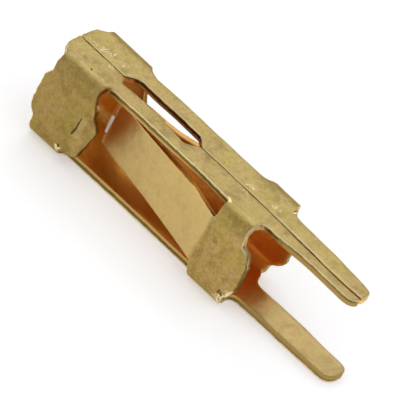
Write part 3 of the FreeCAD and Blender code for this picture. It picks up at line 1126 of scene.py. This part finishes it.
# The corner stroke is a painted glint; the burr strokes are bare gold and painted glints together.
bright = strokes([
    ((5.97, -4.19), (6.07, -4.15), 0.085), ((1.00, -1.60), (1.05, -1.46), 0.07),
    ((1.08, -1.56), (1.14, -1.62), 0.045), ((7.29, -1.50), (7.30, -1.30), 0.06),
    ((7.40, -1.62), (7.47, -1.74), 0.055), ((7.50, -1.84), (7.58, -1.98), 0.04),
    ((7.31, -1.62), (7.33, -1.68), 0.035), ((7.15, 4.16), (7.10, 4.08), 0.05),
    ((7.22, 4.42), (7.25, 4.34), 0.045),
])
scuffs = strokes([
    ((7.20, -1.50), (7.30, -1.62), 0.14), ((7.44, -1.78), (7.54, -1.94), 0.12),
    ((0.22, 4.88), (0.44, 4.80), 0.20), ((0.84, 4.80), (0.96, 4.77), 0.15),
    ((0.74, -4.90), (0.82, -4.89), 0.11), ((5.86, 4.87), (6.00, 4.83), 0.15),
    ((5.97, -4.92), (6.05, -4.92), 0.10), ((6.80, 4.82), (6.92, 4.79), 0.13),
    ((-0.25, 4.93), (0.10, 4.93), 0.08), ((1.25, 4.93), (1.32, 4.93), 0.06),
])
broken_up = ramp(tree, noise(tree, place, 19000, 3.0, 0.8), 0.50, 0.60)
bright = maths(tree, "MAXIMUM", bright, product(tree, scuffs, broken_up))
outside = ramp(tree, depth, 0.1, 0.3, 1.0, 0.0)
colour = tint(tree, colour, 0.25, seam_highlight, SEAM_HIGHLIGHT)
colour = tint(tree, colour, 0.85, product(tree, bright, outside), BARE_GOLD_AND_GLINT)
print("nodes with the bright marks:", len(tree.nodes))

# %% [markdown]
# ### Tip of the near spring arm
#
# The arm's tip stands deep in the box, where it mirrors the orange walls, so its colour falls off towards
# the tip along a slanted line. The lip at its end turns out into the light and shows as one white glint.
# Light alone gives both weakly, because the glint needs a lamp at one exact angle, so both are painted:
# the reflection of the orange walls as a tint and the glint as a white stroke.

# %% Tip of the near spring arm
TIP_REFLECTION_ORANGE = (0.55, 0.215, 0.04)
GLINT_WHITE = (1.0, 0.98, 0.93)
# Painted reflection of the orange walls on the arm's tip, and a painted glint on its lip.
slanted = maths(tree, "ADD", along_x, product(tree, around, -0.40))
tip = product(tree, ramp(tree, slanted, 1.20, 1.75, 1.0, 0.0), arm_front, arm_height)
glint = strokes([((2.07, -2.90), (2.07, -2.40), 0.080)])
colour = tint(tree, colour, 0.82, tip, TIP_REFLECTION_ORANGE)
colour = blend(tree, glint, colour, GLINT_WHITE)
print("nodes with the spring's tip:", len(tree.nodes))

# %% [markdown]
# ### Inside of the box
#
# Every reflection in gold takes some blue and green away, so the inside is orange, and deepest where the
# box is most closed. A path tracer finds part of this by itself. The tint is painted reflected light and
# shade for what few bounces leave out, in three stretches along the box, and leaves the open top face of
# the bottom tail pale.

# %% Colour of the inner skin
FRONT_FLOOR = (0.96, 0.50, 0.08)
FRONT_WALLS = (0.50, 0.215, 0.042)
MIDDLE_ORANGE = (0.68, 0.27, 0.035)
REAR_ORANGE = (0.92, 0.37, 0.05)
TAIL_GOLD = (0.66, 0.50, 0.24)
inner_skin = ramp(tree, depth, 0.5, 0.95)
# Painted reflected light and shade inside the box, orange by stretches along it.
deep = blend(tree, ramp(tree, around, 0.75, 1.35), FRONT_FLOOR, FRONT_WALLS)
deep = blend(tree, ramp(tree, along_x, 1.2, 4.2), deep, MIDDLE_ORANGE)
deep = blend(tree, ramp(tree, along_x, 5.0, 6.4), deep, REAR_ORANGE)
colour = tint(tree, colour, 0.55, product(tree, inner_skin, ramp(tree, along_x, 7.2, 8.2)), TAIL_GOLD)
colour = tint(tree, colour, 0.92, product(tree, inner_skin, hollow_here), deep)
print("nodes with the inside:", len(tree.nodes))

# %% [markdown]
# ### Rim
#
# The rim takes the sheared colours, and a few stretches depart from them: the tails' faces are darker, the
# edges that look into the box carry a painted reflection of its orange, the rear edge has one bright band
# between two dark ones, and the burr is chipped to bare metal. Each stretch is a mask from the place along
# and round the blank.

# %% Rim of tails, window and spring
TAIL_FACE = (0.37, 0.26, 0.085)
WARM_DARK = (0.19, 0.085, 0.010)
WARM_LIGHT = (0.42, 0.19, 0.03)
ARM_SIDE_REFLECTION = (0.80, 0.46, 0.13)
ARM_END_REFLECTION = (0.50, 0.20, 0.035)
cut_face = ramp(tree, depth, 0.28, 0.42)
side_edge = between(tree, around, 0.95, 1.15, 4.18, 4.25)
tail_part = product(tree, ramp(tree, along_x, 7.3, 7.9), cut_face)
front_edge = product(tree, between(tree, along_x, 0.90, 1.00, 1.95, 2.05), side_edge)
# Painted reflection of the box's orange on the window's front edges and on the spring arms' sides and ends.
warm_reflection = blend(tree, ramp(tree, depth, 0.45, 0.85), WARM_DARK, WARM_LIGHT)
arm_side = product(
    tree, between(tree, along_x, 2.3, 2.6, 5.8, 6.0), between(tree, around, 1.5, 1.6, 3.6, 3.7))
arm_end = product(tree, between(tree, along_x, 1.95, 2.0, 2.15, 2.25), side_edge)
rim_colour = tint(tree, sheared.outputs["Color"], 0.80, tail_part, TAIL_FACE)
rim_colour = tint(tree, rim_colour, 0.85, front_edge, warm_reflection)
rim_colour = tint(tree, rim_colour, 0.75, arm_side, ARM_SIDE_REFLECTION)
rim_colour = blend(tree, arm_end, rim_colour, ARM_END_REFLECTION)
print("nodes with the first part of the rim:", len(tree.nodes))

# %% Rim of the rear edge, the seam and the burr
TONGUE_DARK = (0.16, 0.10, 0.025)
TONGUE_BRIGHT = (0.50, 0.37, 0.15)
SEAM_ORANGE = (1.0, 0.60, 0.20)
REAR_HEAD = (0.55, 0.28, 0.06)
BARE_CHIP = (1.0, 0.90, 0.65)
tongue = product(
    tree, ramp(tree, along_x, 6.9, 7.1), between(tree, around, 0.8, 1.1, 3.05, 3.40))
banded = blend(tree, between(tree, depth, 0.28, 0.42, 0.50, 0.64), TONGUE_DARK, TONGUE_BRIGHT)
seam_rim = ramp(tree, around, 4.80, 4.88)
rear_head = product(
    tree, ramp(tree, along_x, 7.25, 7.4), between(tree, around, 3.9, 4.3, 4.70, 4.80),
    ramp(tree, depth, 0.55, 0.70))
window_chip = product(tree, strokes([((1.50, -3.46), (1.58, -3.36), 0.060)]), ramp(tree, depth, 0.25, 0.45))
burr = strokes([((7.31, -1.20), (7.33, -1.42), 0.08), ((7.40, -1.58), (7.62, -2.02), 0.07)])
chips = maths(tree, "MAXIMUM", window_chip, product(tree, burr, 0.85))
chips = product(tree, chips, ramp(tree, noise(tree, place, 12000, 2.0), 0.36, 0.50))
rim_colour = tint(tree, rim_colour, 0.85, tongue, banded)
rim_colour = tint(tree, rim_colour, cut_face, seam_rim, SEAM_ORANGE)
rim_colour = tint(tree, rim_colour, 0.6, rear_head, REAR_HEAD)
rim_colour = blend(tree, chips, rim_colour, BARE_CHIP)
on_rim = product(tree, ramp(tree, rim, 0.20, 0.70), maths(tree, "SUBTRACT", 1.0, glint))
colour = blend(tree, on_rim, colour, rim_colour)
print("nodes with the whole rim:", len(tree.nodes))

# %% [markdown]
# ### Shine
#
# Satin gold scatters its reflections, more where it is dull and less on the sheared band. It is all metal
# except at the glint, where a nearly white, mostly matt patch stands for the lamp that the lip reflects. The
# specular tint takes the white out of grazing reflections, because the plating keeps its warmth there.

# %% Roughness, bump and shader inputs
SATIN = 0.36
DULL_MORE = 0.14
GLINT_ROUGH = 0.45
GLINT_METAL_LOSS = 0.9
BUMP_DISTANCE = 0.000015
GRAZING_TINT = (0.92, 0.84, 0.64, 1)
rough = maths(tree, "ADD", product(tree, plating.outputs["Dull"], DULL_MORE), SATIN)
mix_rough = make_node(tree, "ShaderNodeMix", i0=on_rim, i2=rough, i3=sheared.outputs["Rough"])
mix_rough = make_node(tree, "ShaderNodeMix", i0=glint, i2=mix_rough.outputs[0], i3=GLINT_ROUGH)
metal = maths(tree, "SUBTRACT", 1.0, product(tree, glint, GLINT_METAL_LOSS))
bump = make_node(
    tree, "ShaderNodeBump", Strength=1.0, Distance=BUMP_DISTANCE, Height=relief.outputs["Height"])
tree.links.new(colour, shader.inputs["Base Color"])
tree.links.new(mix_rough.outputs[0], shader.inputs["Roughness"])
tree.links.new(bump.outputs["Normal"], shader.inputs["Normal"])
tree.links.new(metal, shader.inputs["Metallic"])
shader.inputs["Specular Tint"].default_value = GRAZING_TINT
sheet.data.materials.append(gold)
print("the gold material has", len(tree.nodes), "nodes")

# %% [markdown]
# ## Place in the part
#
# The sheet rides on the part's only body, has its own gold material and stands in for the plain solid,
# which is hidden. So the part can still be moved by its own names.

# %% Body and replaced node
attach(sheet, "root")
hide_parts("contact_body")
bpy.context.scene.view_settings.view_transform = "Standard"
print("triangles:", sum(len(face.vertices) - 2 for face in sheet.data.polygons))
